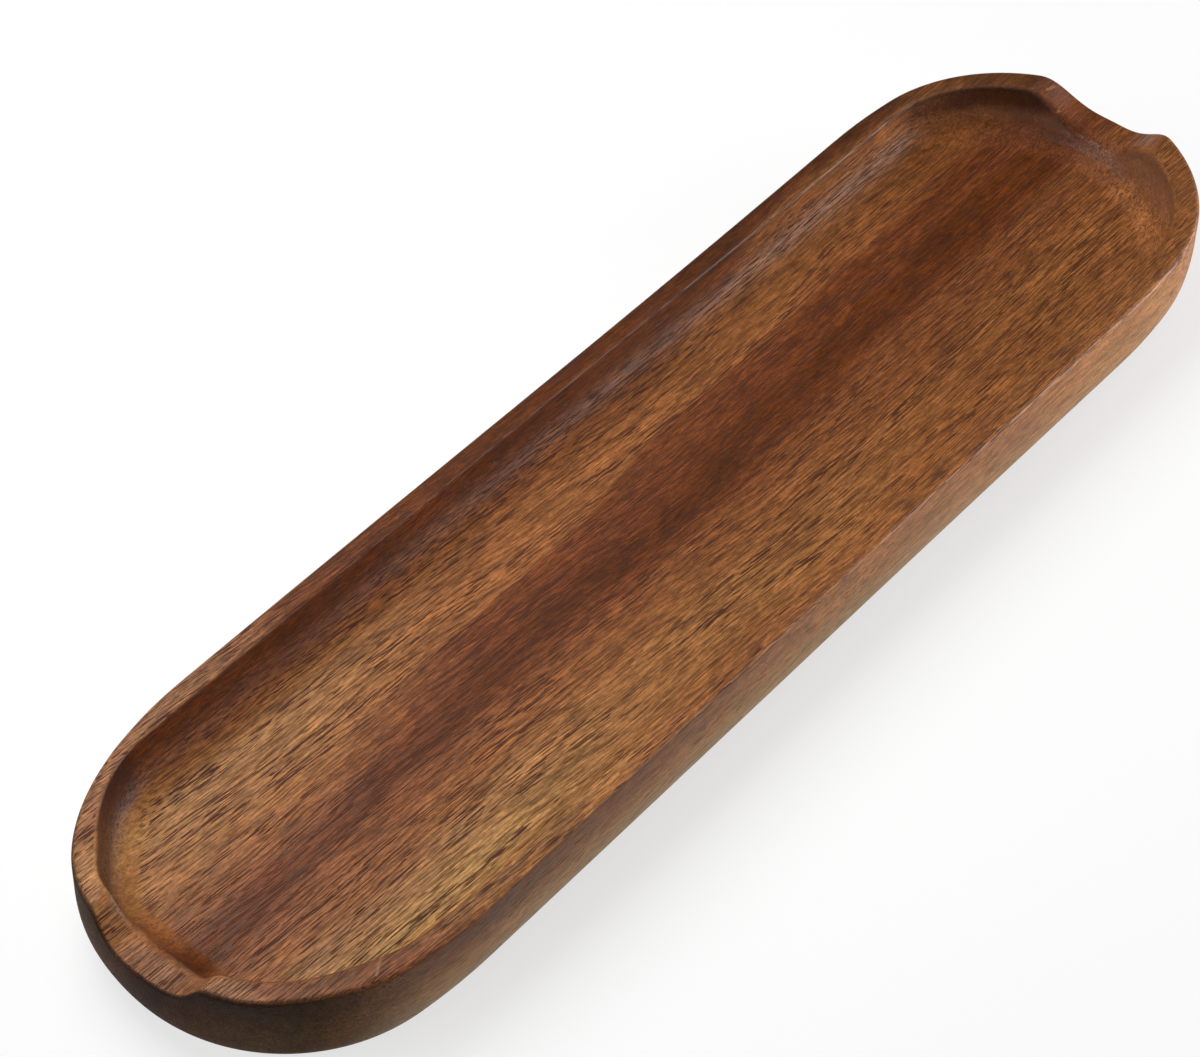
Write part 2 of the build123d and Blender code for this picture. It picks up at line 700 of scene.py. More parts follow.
    outer_end_grain: Stain = Stain((0.235, 0.25, 0.285), Blend.MULTIPLY, OUTER_END)
    # Painted shade: towards the front, the outer wall is darker towards its top, where the floor's bounce
    # light is weaker.
    painted_shade_upper_wall: Stain = Stain(
        (0.40, 0.28, 0.15),
        Blend.MULTIPLY,
        (*OUTER_WALL, Span(Measure.HEIGHT, 7.0, 13.5), Span(Measure.ALONG, -45.0, 5.0, 1.0, 0.0)),
    )
    # The outer sides get a paler, greyer colour, more of it low down: partly the wood's own yellower tone
    # there, and partly a painted sheen of the white floor.
    side_tone_and_floor_sheen: Stain = Stain(
        (0.195, 0.155, 0.070),
        Blend.MIX,
        (
            *OUTER_WALL,
            Span(Measure.HEIGHT, 3.0, 12.5, 0.55, 0.10),
            Span(Measure.ALONG, 0.0, 60.0, 1.0, 0.5),
            Span(Measure.OUTER_END, 0.0, 1.0, 1.0, 0.0),
        ),
    )
    inner_end_grain: Stain = Stain((0.70, 0.66, 0.66), Blend.MULTIPLY, INNER_END)
    # Painted sheen: a pale grey mixed into the steep walls at the hollow's rear end.
    painted_rear_cove_sheen: Stain = Stain(
        (0.24, 0.15, 0.105), Blend.MIX, (*INNER_END, *STEEP, Span(Measure.ALONG, 60.0, 92.0, 0.0, 0.2))
    )
    # Painted shadow: the hollow's left wall towards its rear end is darkened just below the rim.
    painted_rear_wall_shadow: Stain = Stain(
        (0.46, 0.40, 0.38),
        Blend.MULTIPLY,
        (
            *STEEP,
            Span(Measure.OUTWARDS, -20.0, 0.0, 1.0, 0.0),
            Span(Measure.ALONG, 50.0, 78.0),
            Span(Measure.ACROSS, 1.0, 11.0),
            Span(Measure.HEIGHT, 9.5, 12.0),
        ),
    )
    # Painted shade: the hollow's left wall towards its front end is darkened.
    painted_front_wall_shade: Stain = Stain(
        (0.46, 0.40, 0.38),
        Blend.MULTIPLY,
        (
            Span(Measure.UPWARDS, 0.55, 1.0, 1.0, 0.0),
            Span(Measure.OUTWARDS, -18.0, 0.0, 1.0, 0.0),
            Span(Measure.ALONG, -80.0, -66.0, 1.0, 0.0),
            Span(Measure.ACROSS, 5.0, 10.0),
            Span(Measure.HEIGHT, 7.4, 9.8),
        ),
    )
    # The hollow's floor and the foot of its cove are darker towards the rear left corner.
    darker_rear_left_floor: Stain = Stain(
        (0.80, 0.73, 0.60),
        Blend.MULTIPLY,
        (
            Span(Measure.ALONG, 58.0, 80.0),
            Span(Measure.ACROSS, 9.0, 15.0),
            Span(Measure.HEIGHT, 8.5, 11.0, 1.0, 0.0),
        ),
    )
    bare_wood: Colour = (0.30, 0.17, 0.10)
    wear: tuple[WearMark, ...] = (
        WearMark((-81.8, -21.3, 14.5), (-83.9, -22.5, 14.6), 0.22, 0.7),
        WearMark((95.4, 9.6, 13.8), (96.9, 9.3, 13.6), 0.30, 0.45),
        WearMark((94.6, 7.0, 11.7), (94.8, 6.9, 11.7), 0.28, 0.5),
    )

    satin: float = 0.45
    pore_roughness: float = 0.2
    line_roughness: float = 0.3
    end_roughness: float = 0.3
    polished_wall: Zone = (
        Span(Measure.OUTWARDS, -72.0, -52.0, 1.0, 0.0),
        Span(Measure.ALONG, -60.0, 60.0, 0.2, -0.18),
    )
    dull_foot: Zone = (
        Span(Measure.OUTWARDS, -66.0, -50.0),
        Span(Measure.OUTWARDS, -28.0, -6.0, 1.0, 0.0),
        Span(Measure.ALONG, 50.0, 80.0, 0.0, 0.25),
    )
    refraction: float = 1.47
    gloss: float = 0.22
    pore_depth: float = 0.10 * MM
    pore_relief: float = 0.5

    def bent_grain(self, reading: BoardReading) -> Any:
        """The board's millimetres with Y counted from the grain's own lines.

        The lines lean to the right along the front of the board, run straight along its rear, and
        sway a little everywhere.

        Args:
            reading: The measures at the place.

        Returns:
            The vector's socket.
        """
        sheet = reading.sheet
        along = reading.measures[Measure.ALONG]
        bend = sheet.math(MathOp.SMOOTH_MIN, along, self.bend_end, self.bend_softness)
        shift = sheet.total(sheet.product(bend, self.bend_slope), self.sway.level(sheet, reading.board))
        offset = sheet.add("ShaderNodeCombineXYZ", {}, {1: shift}).outputs[0]
        return sheet.vector(VectorOp.ADD, reading.board, offset)

    def strip(self, sheet: NodeSheet, from_core: Any, figure: tuple[tuple[float, WoodTone], ...]) -> Any:
        """Reads the wood's tone off one strip of the figure.

        Args:
            sheet: The sheet to add to.
            from_core: Distance from the core streak across the grain, in millimetres.
            figure: The strip's places and tones.

        Returns:
            The colour's socket.
        """
        first, last = figure[0][0], figure[-1][0]
        inputs = {"Value": from_core, "From Min": first, "From Max": last}
        share = sheet.add("ShaderNodeMapRange", {}, inputs).outputs["Result"]
        return sheet.ramp(share, tuple(((at - first) / (last - first), tone.value) for at, tone in figure))

    def figure(self, reading: BoardReading) -> Any:
        """The wood's bands: the strips, blended along the board, the russet band and the rim's own tones.

        The growth layers lean, so a place higher up reads the strips further to the left.

        Args:
            reading: The measures at the place.

        Returns:
            The colour's socket.
        """
        sheet = reading.sheet
        rise = sheet.math(MathOp.SUBTRACT, reading.measures[Measure.HEIGHT], self.floor_height)
        leaned = sheet.total(reading.measures[Measure.ACROSS], sheet.product(rise, self.grain_lean))
        drifted = sheet.total(leaned, self.drift.level(sheet, reading.board))
        from_core = sheet.math(MathOp.SUBTRACT, drifted, reading.level(self.core_line))
        strips = (self.front_figure, self.middle_figure, self.rear_figure)
        front, middle, rear = (self.strip(sheet, from_core, strip) for strip in strips)
        tone = sheet.mixed(reading.level(self.front_to_middle), front, middle)
        tone = sheet.mixed(reading.level(self.middle_to_rear), tone, rear)
        above = sheet.math(MathOp.SUBTRACT, leaned, reading.level(self.band_edge))
        band = sheet.product(
            sheet.eased(above, -self.band_softness, self.band_softness, self.band_strength, 0.0),
            sheet.eased(from_core, *self.band_start),
            reading.level(self.band_run),
        )
        tone = sheet.mixed(band, tone, WoodTone.RUSSET.value)
        for stain in (self.russet_rim, self.pale_rim, self.pale_sill):
            tone = stain.laid_on(tone, reading)
        return tone

    def shade(self, reading: BoardReading, grain: Any) -> Any:
        """How bright the wood is: soft patches and fibres, times the oiled rim and the paler rear and front
        left floor.

        Args:
            reading: The measures at the place.
            grain: Millimetres along the grain's lines.

        Returns:
            The number's socket, about 1.
        """
        sheet = reading.sheet
        patches = [ripple.level(sheet, grain) for ripple in (self.streaks, self.mottle, self.curl)]
        flecks = self.flecks.level(sheet, reading.board)
        fibres = sheet.product(self.fibres.level(sheet, grain), reading.level(self.fibre_contrast))
        tints = [tint.level(reading) for tint in (self.oiled_rim, self.paler_rear_floor, self.paler_front_left_floor)]
        return sheet.product(*patches, flecks, sheet.total(fibres, 1.0), *tints)

    def colour(self, reading: BoardReading, grain: Any, pores: Any, lines: Any) -> Any:
        """The finished colour: the shaded figure, its pores, then the stains, painted shade and painted
        sheen, and the wear on top.

        Args:
            reading: The measures at the place.
            grain: Millimetres along the grain's lines.
            pores: Mask of the pores.
            lines: Mask of the long pore lines.

        Returns:
            The colour's socket.
        """
        sheet = reading.sheet
        colour = sheet.scaled(self.figure(reading), self.shade(reading, grain))
        colour = sheet.mixed(lines, colour, self.pore_colour)
        filled = sheet.product(pores, self.pore_bands.level(sheet, grain), reading.level(self.pore_fill))
        colour = sheet.mixed(filled, colour, self.pore_colour)
        # Among these stains, painted shade darkens the outer ends, the front outer wall's top and the
        # hollow's left wall at both ends, and painted sheen lightens the low outer sides and the rear cove.
        outside = (self.outer_end_grain, self.painted_shade_upper_wall, self.side_tone_and_floor_sheen)
        inside = (self.inner_end_grain, self.painted_rear_cove_sheen, self.painted_rear_wall_shadow, self.painted_front_wall_shade, self.darker_rear_left_floor)
        for stain in outside + inside:
            colour = stain.laid_on(colour, reading)
        for mark in self.wear:
            colour = sheet.mixed(mark.mask(sheet, reading.board), colour, self.bare_wood)
        return colour

    def roughness(self, reading: BoardReading, pores: Any, lines: Any) -> Any:
        """How dull the wood is: satin, duller in the pores, at the outer ends and at the rear cove's foot.

        Args:
            reading: The measures at the place.
            pores: Mask of the pores.
            lines: Mask of the long pore lines.

        Returns:
            The number's socket.
        """
        sheet = reading.sheet
        return sheet.total(
            sheet.eased(pores, 0.0, 1.0, self.satin, self.satin + self.pore_roughness),
            sheet.product(lines, self.line_roughness),
            sheet.product(reading.measures[Measure.OUTER_END], self.end_roughness),
            reading.level(self.polished_wall),
            reading.level(self.dull_foot),
        )

    def material(self) -> bpy.types.Material:
        """Builds the wood.

        Returns:
            The material.
        """
        material, sheet = new_material("oiled_wood")
        reading = BoardReading(sheet)
        grain = self.bent_grain(reading)
        pores = self.pores.mask(sheet, grain)
        lines = sheet.product(self.lines.mask(sheet, grain), reading.level(self.line_fill))
        sunk = sheet.product(pores, -1.0)
        dents = {"Strength": self.pore_relief, "Distance": self.pore_depth, "Height": sunk}
        looks = {
            "Base Color": self.colour(reading, grain, pores, lines),
            "Roughness": self.roughness(reading, pores, lines),
            "Normal": sheet.add("ShaderNodeBump", {}, dents).outputs[0],
            "IOR": self.refraction,
            "Specular IOR Level": self.gloss,
        }
        surface = sheet.add("ShaderNodeBsdfPrincipled", {}, looks)
        sheet.add("ShaderNodeOutputMaterial", {}, {"Surface": surface.outputs[0]})
        return material


@dataclass(frozen=True)
class FootRubber:
    """Matt dark rubber with a fine moulded grain and a paler bloom, both noise with cells per metre.

    The bloom starts at one noise level and is full at the next. The roughness goes from its first
    level to its second over the grain's range.
    """

    colour: Colour = (0.020, 0.019, 0.018)
    bloom: Colour = (0.045, 0.043, 0.041)
    bloom_cells: Point = (300.0, 300.0, 300.0)
    bloom_detail: float = 3.0
    bloom_range: Plan = (0.35, 0.7)
    grain_cells: Point = (4000.0, 4000.0, 4000.0)
    grain_detail: float = 2.0
    grain_range: Plan = (0.2, 0.8)
    grain_depth: float = 0.05 * MM
    grain_relief: float = 0.3
    roughness: Plan = (0.6, 0.8)

    def material(self) -> bpy.types.Material:
        """Builds the rubber.

        Returns:
            The material.
        """
        material, sheet = new_material("foot_rubber")
        spot = sheet.add("ShaderNodeTexCoord", {}, {}).outputs["Object"]
        grain = sheet.noise(sheet.stretched(spot, self.grain_cells), self.grain_detail)
        cloud = sheet.noise(sheet.stretched(spot, self.bloom_cells), self.bloom_detail)
        bumps = {"Strength": self.grain_relief, "Distance": self.grain_depth, "Height": grain}
        looks = {
            "Base Color": sheet.mixed(sheet.eased(cloud, *self.bloom_range), self.colour, self.bloom),
            "Roughness": sheet.eased(grain, *self.grain_range, *self.roughness),
            "Normal": sheet.add("ShaderNodeBump", {}, bumps).outputs[0],
        }
        surface = sheet.add("ShaderNodeBsdfPrincipled", {}, looks)
        sheet.add("ShaderNodeOutputMaterial", {}, {"Surface": surface.outputs[0]})
        return material


@dataclass(frozen=True)
class PaleFloor:
    """Plain white sweep that looks white in the picture and keeps a soft shadow.

    It whitens from a near to a far reach, by a near and a far share.
    """

    seen_colour: Colour = (0.92, 0.92, 0.92)
    bounce_colour: Colour = (0.55, 0.55, 0.55)
    reach: Plan = (0.05, 0.24)
    whitening: Plan = (0.66, 0.97)

    def material(self) -> bpy.types.Material:
        """Builds the floor's finish.

        Returns:
            The material.
        """
        material, sheet = new_material("pale_floor")
        path = sheet.add("ShaderNodeLightPath", {}, {}).outputs
        seen = sheet.largest(path["Is Camera Ray"], path["Is Glossy Ray"], path["Is Transmission Ray"])
        colour = sheet.mixed(seen, self.bounce_colour, self.seen_colour)
        matt = sheet.add("ShaderNodeBsdfDiffuse", {}, {"Color": colour})
        white = sheet.add("ShaderNodeEmission", {}, {"Strength": 1.0})
        spot = sheet.add("ShaderNodeTexCoord", {}, {}).outputs["Object"]
        away = sheet.vector(VectorOp.LENGTH, spot)
        share = sheet.product(seen, sheet.eased(away, *self.reach, *self.whitening))
        both = sheet.add("ShaderNodeMixShader", {}, {0: share, 1: matt.outputs[0], 2: white.outputs[0]})
        sheet.add("ShaderNodeOutputMaterial", {}, {"Surface": both.outputs[0]})
        return material


# Tray


@dataclass(frozen=True)
class RoundEndedLine:
    """A line in plan with straight sides and round ends, each quarter of an end being two tangent arcs."""

    half_length: float
    half_width: float
    side_radius: float
    tip_radius: float

    @property
    def hand_over(self) -> float:
        """Angle at which the side's arc meets the tip's arc."""
        return math.acos((self.side_radius - self.half_width) / (self.side_radius - self.tip_radius))

    @property
    def straight(self) -> float:
        """Half the length of a straight side."""
        reach = self.tip_radius + (self.side_radius - self.tip_radius) * math.sin(self.hand_over)
        return self.half_length - reach

    def spine(self, plan: np.ndarray) -> np.ndarray:
        """The points of the middle line that lie across from points in plan."""
        limit = self.half_length - self.half_width
        return np.column_stack([np.clip(plan[:, 0], -limit, limit), np.zeros(len(plan))])

    def trace(self, ring: "RimRing") -> np.ndarray:
        """Points of the line at the ring's stations.

        On a side, x is the station's share of the straight and y the half width. Round an end, the
        point is the arc's centre plus its radius along the normal, with the side's arc up to the
        hand-over and the tip's arc after it.

        Args:
            ring: The stations.

        Returns:
            Points of shape (stations, 2).
        """
        turn, gap = ring.turn, self.side_radius - self.tip_radius
        on_side_arc = turn < self.hand_over
        x_side, y_side = self.side_radius * np.sin(turn), self.half_width - self.side_radius
        x_tip = gap * math.sin(self.hand_over) + self.tip_radius * np.sin(turn)
        x = ring.share * self.straight + ring.end * np.where(on_side_arc, x_side, x_tip)
        y = np.where(on_side_arc, y_side + self.side_radius * np.cos(turn), self.tip_radius * np.cos(turn))
        return np.stack([x, ring.side * y], axis=-1)


@dataclass(frozen=True)
class RimRing:
    """Stations round the tray, anticlockwise from the rear tip, seen from above.

    Each station has the end and the side that it belongs to, its share of the straight side, and the
    angle by which the line has turned from the side towards the tip.
    """

    end: np.ndarray
    side: np.ndarray
    share: np.ndarray
    turn: np.ndarray

    @classmethod
    def laid_out(
        cls, shoulder_turn: float, shoulder_steps: int, end_steps: int, side_steps: int
    ) -> "RimRing":
        """Lays out the stations, closer together where the line turns.

        Args:
            shoulder_turn: Angle of the long shoulder arc.
            shoulder_steps: Stations along that arc.
            end_steps: Stations from there to the tip.
            side_steps: Stations along half a straight side.

        Returns:
            The ring.
        """
        bend = np.concatenate(
            [
                np.linspace(0.0, shoulder_turn, shoulder_steps, endpoint=False),
                np.linspace(shoulder_turn, math.pi / 2, end_steps + 1),
            ]
        )
        run = np.linspace(0.0, 1.0, side_steps, endpoint=False)
        turn = np.concatenate([bend[::-1], np.zeros(side_steps)])
        share = np.concatenate([np.ones(len(bend)), run[::-1]])
        ones = np.ones(len(turn))
        quarters = [
            (ones, ones, share, turn),
            (-ones[:-1], ones[:-1], -share[::-1][1:], turn[::-1][1:]),
            (-ones[1:], -ones[1:], -share[1:], turn[1:]),
            (ones[1:-1], -ones[1:-1], share[::-1][1:-1], turn[::-1][1:-1]),
        ]
        end, side, share, turn = (np.concatenate(parts) for parts in zip(*quarters))
        return cls(end, side, share, turn)

    @property
    def normal(self) -> np.ndarray:
        """Outward normals in plan, of shape (stations, 2)."""
        return np.stack([self.end * np.sin(self.turn), self.side * np.cos(self.turn)], axis=-1)


@dataclass(frozen=True)
class SandedSpot:
    """A place where the maker's sanding took a little off a line of the rim, or left a little on it."""

    line: RimLine
    place: Plan
    depth: float
    spread: float

    def inset(self, points: np.ndarray) -> np.ndarray:
        """How far each point moves inwards: the depth, falling off as a bell curve with distance.

        Args:
            points: Points in plan.

        Returns:
            One length for each point.
        """
        distance = np.linalg.norm(points - np.array(self.place), axis=-1)
        return self.depth * np.exp(-((distance / self.spread) ** 2))


@dataclass(frozen=True)
class PenNotch:
    """A dip across the rim at one end of the tray, in which a pen can lie."""

    end: TrayEnd
    middle: float
    depth: float
    left_reach: float
    right_reach: float
    flatness: float

    def dip(self, plan: np.ndarray) -> np.ndarray:
        """How far the rim dips at points in plan.

        It is the depth times the squared cosine of a quarter turn that runs from the notch's middle
        to its reach on either side. The turn grows as a power of the distance, so that a higher
        flatness makes a flatter sill with steeper flanks.

        Args:
            plan: Points in plan.

        Returns:
            One length for each point, 0 on the rest of the rim.
        """
        across = plan[:, 1] - self.middle
        reach = np.where(across > 0.0, self.left_reach, self.right_reach)
        share = np.clip(np.abs(across) / reach, 0.0, 1.0) ** self.flatness
        dip = self.depth * np.cos(share * math.pi / 2) ** 2
        return np.where(plan[:, 0] * self.end.value > 0.0, dip, 0.0)


@dataclass
class TrayBody:
    """The board: a round-ended block with a carved hollow and a pen notch across the rim at each end.

    A cove is given by its reach and its rise, and its length is a few tenths more than the rise. An
    edge's rounding is given on the rim and on a sill.
    """

    low: Vector
    high: Vector
    shoulder_radius: float = 85.0 * MM
    tip_radius: float = 25.5 * MM
    belly_height: float = 8.6 * MM
    belly_inset: float = 2.7 * MM
    side_rim_width: float = 3.1 * MM
    end_rim_width: float = 4.3 * MM
    corner_radius: float = 19.5 * MM
    hollow_tip_radius: float = 32.0 * MM
    floor_thickness: float = 5.8 * MM
    side_cove: Plan = (5.6 * MM, 6.2 * MM)
    end_cove: Plan = (5.2 * MM, 5.6 * MM)
    outer_edge: Plan = (0.8 * MM, 0.55 * MM)
    inner_edge: Plan = (0.7 * MM, 1.5 * MM)
    notches: tuple[PenNotch, ...] = (
        PenNotch(TrayEnd.FRONT, 0.2 * MM, 3.8 * MM, 9.7 * MM, 9.1 * MM, 2.6),
        PenNotch(TrayEnd.REAR, 0.4 * MM, 4.4 * MM, 11.4 * MM, 10.6 * MM, 1.5),
    )
    hand_finish: tuple[SandedSpot, ...] = (
        SandedSpot(RimLine.OUTER, (30.0 * MM, 26.0 * MM), 0.50 * MM, 55.0 * MM),
        SandedSpot(RimLine.OUTER, (-82.0 * MM, 24.0 * MM), 0.50 * MM, 8.0 * MM),
        SandedSpot(RimLine.OUTER, (-95.5 * MM, 14.0 * MM), -0.60 * MM, 7.0 * MM),
        SandedSpot(RimLine.LIP, (-96.8 * MM, -13.0 * MM), -0.60 * MM, 6.0 * MM),
        SandedSpot(RimLine.HOLLOW, (72.0 * MM, -23.0 * MM), 1.30 * MM, 62.0 * MM),
        SandedSpot(RimLine.HOLLOW, (-95.5 * MM, -8.5 * MM), -0.80 * MM, 4.5 * MM),
        SandedSpot(RimLine.HOLLOW, (-86.5 * MM, -19.3 * MM), 0.48 * MM, 6.0 * MM),
        SandedSpot(RimLine.HOLLOW, (-94.3 * MM, 11.5 * MM), -1.00 * MM, 4.0 * MM),
        SandedSpot(RimLine.HOLLOW, (-82.0 * MM, -21.0 * MM), 0.95 * MM, 8.0 * MM),
        SandedSpot(RimLine.HOLLOW, (-87.0 * MM, 18.0 * MM), 0.30 * MM, 9.0 * MM),
        SandedSpot(RimLine.HOLLOW, (-95.7 * MM, 0.0), 0.30 * MM, 8.0 * MM),
        SandedSpot(RimLine.HOLLOW, (95.7 * MM, 0.0), -0.60 * MM, 9.0 * MM),
    )
    shoulder_steps: int = 12
    end_steps: int = 90
    side_steps: int = 60
    under_rows: int = 5
    belly_rows: int = 14
    wall_rows: int = 5
    edge_rows: int = 7
    land_rows: int = 7
    corner_rows: int = 8
    cove_rows: int = 22
    floor_rows: int = 12
    cove_length: float = 1.3
    corner_passes: int = 3

    @property
    def outer(self) -> RoundEndedLine:
        """The board's outer line in plan."""
        half = (self.high - self.low) / 2
        return RoundEndedLine(half.x, half.y, self.shoulder_radius, self.tip_radius)

    @property
    def hollow(self) -> RoundEndedLine:
        """The hollow's wall in plan."""
        half = (self.high - self.low) / 2
        length, width = half.x - self.end_rim_width, half.y - self.side_rim_width
        return RoundEndedLine(length, width, self.corner_radius, self.hollow_tip_radius)

    def finished_line(self, line: RimLine, ring: RimRing) -> np.ndarray:
        """A line of the rim, moved inwards along its normals where the maker sanded it.

        The lip is the outer line with its own sanding on top. No line leaves the board's box.

        Args:
            line: Which of the lines.
            ring: The stations.

        Returns:
            Points of shape (stations, 2).
        """
        drawn = (self.hollow if line is RimLine.HOLLOW else self.outer).trace(ring)
        sanded = {line, RimLine.OUTER} if line is RimLine.LIP else {line}
        insets = (spot.inset(drawn) for spot in self.hand_finish if spot.line in sanded)
        moved = drawn - sum(insets, np.zeros(len(drawn)))[:, None] * ring.normal
        return np.clip(moved, np.array(self.low.xy), np.array(self.high.xy))

    def rim_height(self, plan: np.ndarray) -> np.ndarray:
        """Height of the rim's top at points in plan: the board's top, less the notches' dips."""
        return self.high.z - sum(notch.dip(plan) for notch in self.notches)

    def outside(self, outer: np.ndarray, lip: np.ndarray, normal: np.ndarray, edge: np.ndarray) -> list[Row]:
        """The rows from the middle line underneath, up the outer wall and over its upper edge.

        The underside runs straight out to a quarter of an ellipse, which bellies out to the outer
        line. The wall then runs straight to the lip, and ends in a quarter circle below the rim's top.

        Args:
            outer: The outer line.
            lip: The line of the wall's top.
            normal: The normals of both.
            edge: Radius of the upper edge at each station.

        Returns:
            Points in plan and heights, row by row.
        """
        under, belly = self.low.z, self.low.z + self.belly_height
        foot = outer - self.belly_inset * normal
        middle = self.outer.spine(foot)
        rows = [(middle * (1 - share) + foot * share, under) for share in shares(self.under_rows)[:-1]]
        for angle in quarter(self.belly_rows):
            plan = outer - self.belly_inset * (1 - math.sin(angle)) * normal
            rows.append((plan, under + self.belly_height * (1 - math.cos(angle))))
        wall_top = self.rim_height(lip) - edge
        for share in shares(self.wall_rows)[1:-1]:
            rows.append((outer * (1 - share) + lip * share, belly * (1 - share) + wall_top * share))
        for angle in quarter(self.edge_rows):
            plan = lip - (edge * (1 - math.cos(angle)))[:, None] * normal
            rows.append((plan, self.rim_height(plan) - edge * (1 - math.sin(angle))))
        return rows

    def inside(self, land: np.ndarray, hollow: np.ndarray, ring: RimRing, edge: np.ndarray) -> list[Row]:
        """The rows from the rim's land, over its inner edge and down the hollow to the middle line.

        The hollow's section is a straight wall and a quarter of an ellipse, which goes over from the
        sides' cove to the ends' cove round each corner. It starts where it meets the rim or a notch's
        sill, and that corner is a parabola between a point of the land and a point of the section.

        Args:
            land: The line at which the land starts, outside.
            hollow: The hollow's line at the level of the rim.
            ring: The stations.
            edge: Length of the inner edge's rounding at each station.

        Returns:
            Points in plan and heights, row by row.
        """
        floor, normal = self.low.z + self.floor_thickness, ring.normal
        roundness = smoothstep(0.0, 1.0, ring.turn)
        coves = zip(self.side_cove, self.end_cove)
        reach, rise = ((1 - roundness) * side + roundness * end for side, end in coves)
        wall = self.high.z - floor - rise
        length = wall + self.cove_length * rise
        bend = wall / length

        def section(share: np.ndarray) -> Row:
            """The section below the rim.

            Args:
                share: Share of the way down, for each station.

            Returns:
                Points in plan and heights.
            """
            angle = np.clip((share - bend) / (1 - bend), 0.0, 1.0) * math.pi / 2
            plan = hollow - (reach * (1 - np.cos(angle)))[:, None] * normal
            return plan, self.high.z - wall * np.clip(share / bend, 0.0, 1.0) - rise * np.sin(angle)

        start = np.zeros(len(hollow))
        for _ in range(self.corner_passes):
            drop = self.high.z - self.rim_height(section(start)[0])
            on_cove = np.arcsin(np.clip((drop - wall) / rise, 0.0, 1.0)) / (math.pi / 2)
            start = np.where(drop < wall, bend * drop / wall, bend + (1 - bend) * on_cove)
        corner, corner_height = section(start)[0], self.rim_height(section(start)[0])
        before = corner + edge[:, None] * normal
        before_height = self.rim_height(before)
        onwards = start + edge / length
        after, after_height = section(onwards)

        rows: list[Row] = []
        for share in shares(self.land_rows)[1:-1]:
            plan = land * (1 - share) + before * share
            rows.append((plan, self.rim_height(plan)))
        for share in shares(self.corner_rows):
            first, middle, last = (1 - share) ** 2, 2 * share * (1 - share), share**2
            plan = first * before + middle * corner + last * after
            rows.append((plan, first * before_height + middle * corner_height + last * after_height))
        rows += [section(onwards + (1 - onwards) * share) for share in shares(self.cove_rows)[1:]]
        foot = rows[-1][0]
        spine = self.hollow.spine(foot)
        rows += [(foot * (1 - share) + spine * share, floor) for share in shares(self.floor_rows)[1:]]
        return rows

    def surface(self) -> np.ndarray:
        """The whole skin, as a section carried round the rim from the underside to the hollow's floor.

        Each point of the section is a point of one of the rim's lines, moved along the normal,
        with a height that follows the notches on the rim.

        Returns:
            Points of shape (rows, stations, 3).
        """
        hand_over = self.outer.hand_over
        ring = RimRing.laid_out(hand_over, self.shoulder_steps, self.end_steps, self.side_steps)
        outer, lip, hollow = (self.finished_line(line, ring) for line in RimLine)
        sunk = (self.high.z - self.rim_height(lip)) / max(notch.depth for notch in self.notches)
        edges = (self.outer_edge, self.inner_edge)
        outer_edge, inner_edge = (rim * (1 - sunk) + sill * sunk for rim, sill in edges)
        rows = self.outside(outer, lip, ring.normal, outer_edge)
        rows += self.inside(rows[-1][0], hollow, ring, inner_edge)
        filled = ((plan, np.broadcast_to(height, len(plan))) for plan, height in rows)
        return np.stack([np.column_stack(row) for row in filled])

    def build(self) -> bpy.types.Object:
        """Makes the board's mesh."""
        return ring_mesh("carved_board", self.surface())

    def dress(self, finish: OiledWood) -> bpy.types.Object:
        """Builds the board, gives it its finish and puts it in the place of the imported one.

        Args:
            finish: The wood.

        Returns:
            The finished piece.
        """
        piece = self.build()
        piece.data.materials.append(finish.material())
        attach(piece, ROOT_BODY)
        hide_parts("tray_body")
        return piece


# Feet


@dataclass
class StickOnFoot:
    """A low round pad under one corner of the board."""

    node: str
    lower_edge_radius: float = 0.45 * MM
    draft: float = 0.12 * MM
    top_rows: int = 2
    edge_rows: int = 8
    face_rows: int = 3
    steps_round: int = 72

    def surface(self) -> np.ndarray:
        """A profile turned about the pad's own axis.

        The profile runs out along the top to its rim, down the slightly drafted side, round the lower
        edge and in along the flat face to the axis.

        Returns:
            Points of shape (rows, steps, 3).
        """
        low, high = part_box(self.node)
        centre, radius, rounding = (low + high) / 2, (high.x - low.x) / 2, self.lower_edge_radius
        lower_radius = radius - self.draft
        angle = quarter(self.edge_rows)
        top = shares(self.top_rows) * radius
        edge = lower_radius - rounding * (1 - np.cos(angle))
        face = shares(self.face_rows)[-2::-1] * (lower_radius - rounding)
        reach = np.concatenate([top, edge, face])
        edge_height = low.z + rounding * (1 - np.sin(angle))
        height = np.concatenate([np.full(len(top), high.z), edge_height, np.full(len(face), low.z)])
        round_about = np.linspace(0.0, 2 * math.pi, self.steps_round, endpoint=False)
        x = centre.x + reach[:, None] * np.cos(round_about)
        y = centre.y + reach[:, None] * np.sin(round_about)
        return np.stack([x, y, np.broadcast_to(height[:, None], x.shape)], axis=-1)

    def dress(self, rubber: bpy.types.Material) -> bpy.types.Object:
        """Builds the pad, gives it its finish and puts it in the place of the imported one.

        Args:
            rubber: The pad's material.

        Returns:
            The finished piece.
        """
        piece = ring_mesh(self.node.replace("foot", "pad"), self.surface())
        piece.data.materials.append(rubber)
        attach(piece, ROOT_BODY)
        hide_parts(self.node)
        return piece


# Studio


